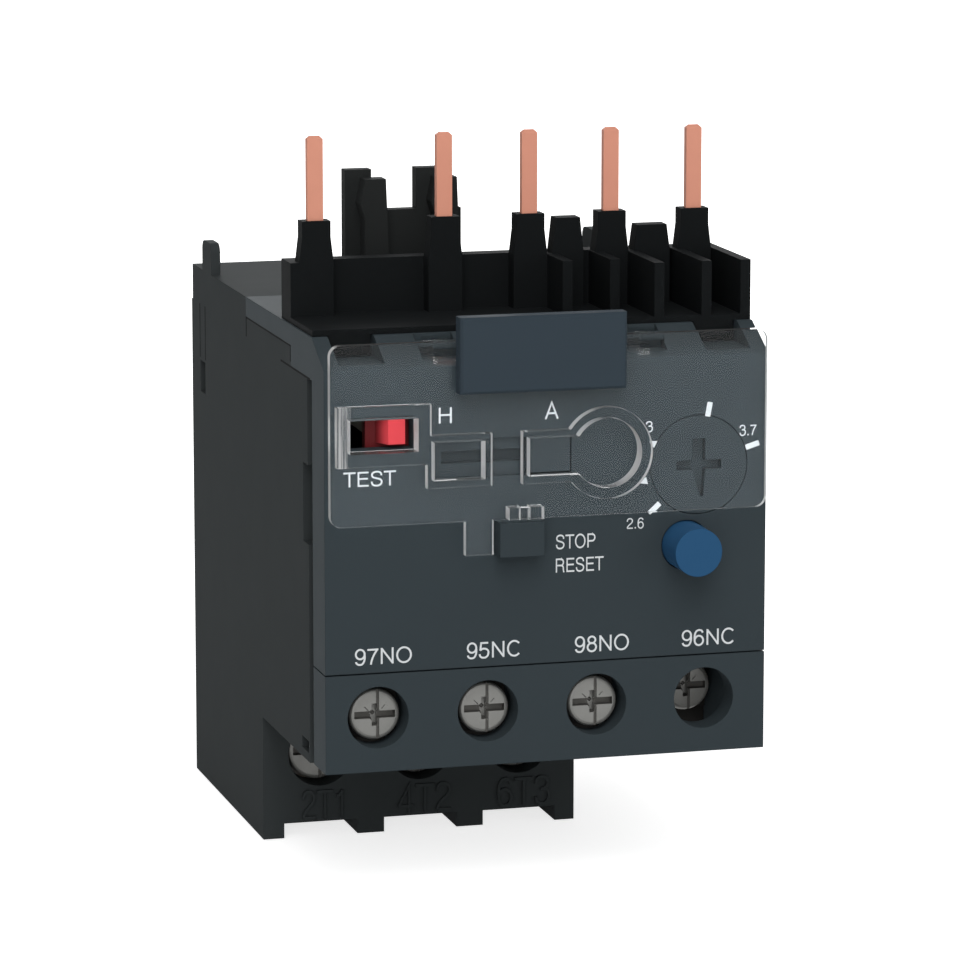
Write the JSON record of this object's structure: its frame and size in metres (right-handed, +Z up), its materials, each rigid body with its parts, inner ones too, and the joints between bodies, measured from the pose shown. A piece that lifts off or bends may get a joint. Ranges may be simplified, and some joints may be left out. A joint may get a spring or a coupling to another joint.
{
  "type": "thermal overload relay",
  "caption": "Compact plug-on thermal overload relay: bimetal trip mechanism, setting dial, reset button, test tab, clear flap and screw terminals under a row of copper contactor pins.",
  "frame": {"origin": "under the middle of the whole relay's outline, at the height of its feet", "axes": "+X to the right seen from the front, +Y from the front face towards the rear, +Z up towards the contactor pins"},
  "size_m": [0.045, 0.0646, 0.0743],
  "materials": {
    "housing_black": "fine matt moulded texture",
    "cover_slate": "fine matt moulded texture, dark blue grey",
    "comb_black": "satin black moulding",
    "clear_plastic": "clear polished polycarbonate, slightly smoky",
    "marker_slate": "smooth satin moulding",
    "button_blue": "satin blue moulding",
    "tab_red": "glossy red moulding",
    "copper": "bare drawn copper, faint scratches",
    "bimetal_steel": "rolled strip, lengthwise grain",
    "plated_steel": "zinc plated, slightly dulled",
    "contact_brass": "bright rolled brass",
    "inner_moulding": "natural grey moulding"
  },
  "bodies": {
    "root": {"rear_housing": "housing_black", "front_cover": "cover_slate", "aux_terminal_strip": "cover_slate", "pin_comb": "comb_black", "contactor_hooks": "comb_black", "coil_link_pin": "copper", "power_pin_1": "copper", "power_pin_2": "copper", "power_pin_3": "copper", "aux_link_pin": "copper", "bimetal_1": "bimetal_steel", "bimetal_2": "bimetal_steel", "bimetal_3": "bimetal_steel", "heater_winding_1": "bimetal_steel", "heater_winding_2": "bimetal_steel", "heater_winding_3": "bimetal_steel", "aux_terminal_97": "contact_brass", "aux_terminal_95": "contact_brass", "aux_terminal_98": "contact_brass", "aux_terminal_96": "contact_brass", "power_terminal_1": "contact_brass", "power_terminal_2": "contact_brass", "power_terminal_3": "contact_brass", "mechanism_frame": "inner_moulding", "reset_spring": "plated_steel"},
    "cover_body": {"clear_cover": "clear_plastic", "marker_plate": "marker_slate"},
    "dial_body": {"setting_dial": "cover_slate"},
    "strip_body": {"compensation_strip": "bimetal_steel"},
    "reset_body": {"reset_button": "button_blue"},
    "trip_body": {"test_tab": "tab_red", "trip_bar": "inner_moulding"},
    "lever_body": {"trip_lever": "inner_moulding"},
    "carrier_body": {"contact_carrier": "inner_moulding", "bridge_no": "contact_brass", "bridge_nc": "contact_brass"},
    "selector_body": {"mode_selector": "cover_slate"},
    "power_clamp_body_1": {"power_clamp_1": "plated_steel"},
    "power_screw_body_1": {"power_screw_1": "plated_steel"},
    "power_clamp_body_2": {"power_clamp_2": "plated_steel"},
    "power_screw_body_2": {"power_screw_2": "plated_steel"},
    "power_clamp_body_3": {"power_clamp_3": "plated_steel"},
    "power_screw_body_3": {"power_screw_3": "plated_steel"},
    "aux_clamp_body_1": {"aux_clamp_1": "plated_steel"},
    "aux_screw_body_1": {"aux_screw_1": "plated_steel"},
    "aux_clamp_body_2": {"aux_clamp_2": "plated_steel"},
    "aux_screw_body_2": {"aux_screw_2": "plated_steel"},
    "aux_clamp_body_3": {"aux_clamp_3": "plated_steel"},
    "aux_screw_body_3": {"aux_screw_3": "plated_steel"},
    "aux_clamp_body_4": {"aux_clamp_4": "plated_steel"},
    "aux_screw_body_4": {"aux_screw_4": "plated_steel"}
  },
  "joints": [
    {"name": "cover_hinge", "type": "hinge", "parent": "root", "child": "cover_body", "pos_m": [0, -0.0242, 0.0549], "axis": [-1, 0, 0], "range_deg": [0, 90]},
    {"name": "dial_turn", "type": "hinge", "parent": "root", "child": "dial_body", "pos_m": [0.0154, -0.022, 0.0424], "axis": [0, -1, 0], "range_deg": [-66, 133]},
    {"name": "compensation_swing", "type": "hinge", "parent": "root", "child": "strip_body", "pos_m": [0.0124, -0.021, 0.049], "axis": [0, 1, 0], "range_deg": [-3, 6]},
    {"name": "reset_press", "type": "slide", "parent": "root", "child": "reset_body", "axis": [0, 1, 0], "range_m": [0, 0.0026], "stiffness_N_per_m": 300, "deforming": ["reset_spring"]},
    {"name": "trip_slide", "type": "slide", "parent": "root", "child": "trip_body", "axis": [-1, 0, 0], "range_m": [0, 0.0028], "stiffness_N_per_m": 80},
    {"name": "lever_swing", "type": "hinge", "parent": "root", "child": "lever_body", "pos_m": [0.017, 0.009, 0.045], "axis": [0, 0, 1], "range_deg": [-1, 20]},
    {"name": "carrier_slide", "type": "slide", "parent": "root", "child": "carrier_body", "axis": [0, -1, 0], "range_m": [0, 0.00145]},
    {"name": "mode_slide", "type": "slide", "parent": "root", "child": "selector_body", "axis": [-1, 0, 0], "range_m": [0, 0.0094]},
    {"name": "power_clamp_slide_1", "type": "slide", "parent": "root", "child": "power_clamp_body_1", "axis": [0, 1, 0], "range_m": [0, 0.005]},
    {"name": "power_screw_turn_1", "type": "hinge", "parent": "power_clamp_body_1", "child": "power_screw_body_1", "pos_m": [-0.0164, 0.007, 0.00875], "axis": [0, 1, 0], "range_deg": [0, 3005]},
    {"name": "power_clamp_slide_2", "type": "slide", "parent": "root", "child": "power_clamp_body_2", "axis": [0, 1, 0], "range_m": [0, 0.005]},
    {"name": "power_screw_turn_2", "type": "hinge", "parent": "power_clamp_body_2", "child": "power_screw_body_2", "pos_m": [-0.00575, 0.007, 0.00875], "axis": [0, 1, 0], "range_deg": [0, 3005]},
    {"name": "power_clamp_slide_3", "type": "slide", "parent": "root", "child": "power_clamp_body_3", "axis": [0, 1, 0], "range_m": [0, 0.005]},
    {"name": "power_screw_turn_3", "type": "hinge", "parent": "power_clamp_body_3", "child": "power_screw_body_3", "pos_m": [0.0049, 0.007, 0.00875], "axis": [0, 1, 0], "range_deg": [0, 3005]},
    {"name": "aux_clamp_slide_1", "type": "slide", "parent": "root", "child": "aux_clamp_body_1", "axis": [0, 1, 0], "range_m": [0, 0.0044]},
    {"name": "aux_screw_turn_1", "type": "hinge", "parent": "aux_clamp_body_1", "child": "aux_screw_body_1", "pos_m": [-0.0172, -0.022, 0.01875], "axis": [0, 1, 0], "range_deg": [0, 3175]},
    {"name": "aux_clamp_slide_2", "type": "slide", "parent": "root", "child": "aux_clamp_body_2", "axis": [0, 1, 0], "range_m": [0, 0.0044]},
    {"name": "aux_screw_turn_2", "type": "hinge", "parent": "aux_clamp_body_2", "child": "aux_screw_body_2", "pos_m": [-0.00607, -0.022, 0.01875], "axis": [0, 1, 0], "range_deg": [0, 3175]},
    {"name": "aux_clamp_slide_3", "type": "slide", "parent": "root", "child": "aux_clamp_body_3", "axis": [0, 1, 0], "range_m": [0, 0.0044]},
    {"name": "aux_screw_turn_3", "type": "hinge", "parent": "aux_clamp_body_3", "child": "aux_screw_body_3", "pos_m": [0.00506, -0.022, 0.01875], "axis": [0, 1, 0], "range_deg": [0, 3175]},
    {"name": "aux_clamp_slide_4", "type": "slide", "parent": "root", "child": "aux_clamp_body_4", "axis": [0, 1, 0], "range_m": [-0.0044, 0]},
    {"name": "aux_screw_turn_4", "type": "hinge", "parent": "aux_clamp_body_4", "child": "aux_screw_body_4", "pos_m": [0.01619, -0.0176, 0.01875], "axis": [0, 1, 0], "range_deg": [-3175, 0]}
  ],
  "couplings": [
    {"joint": "compensation_swing", "follows": "dial_turn", "ratio": 0.0392},
    {"joint": "lever_swing", "follows": "trip_slide", "rad_per_m": 120.24},
    {"joint": "carrier_slide", "follows": "trip_slide", "ratio": 0.507},
    {"joint": "power_screw_turn_1", "follows": "power_clamp_slide_1", "rad_per_m": 10472},
    {"joint": "power_screw_turn_2", "follows": "power_clamp_slide_2", "rad_per_m": 10472},
    {"joint": "power_screw_turn_3", "follows": "power_clamp_slide_3", "rad_per_m": 10472},
    {"joint": "aux_screw_turn_1", "follows": "aux_clamp_slide_1", "rad_per_m": 12566},
    {"joint": "aux_screw_turn_2", "follows": "aux_clamp_slide_2", "rad_per_m": 12566},
    {"joint": "aux_screw_turn_3", "follows": "aux_clamp_slide_3", "rad_per_m": 12566},
    {"joint": "aux_screw_turn_4", "follows": "aux_clamp_slide_4", "rad_per_m": 12566}
  ]
}
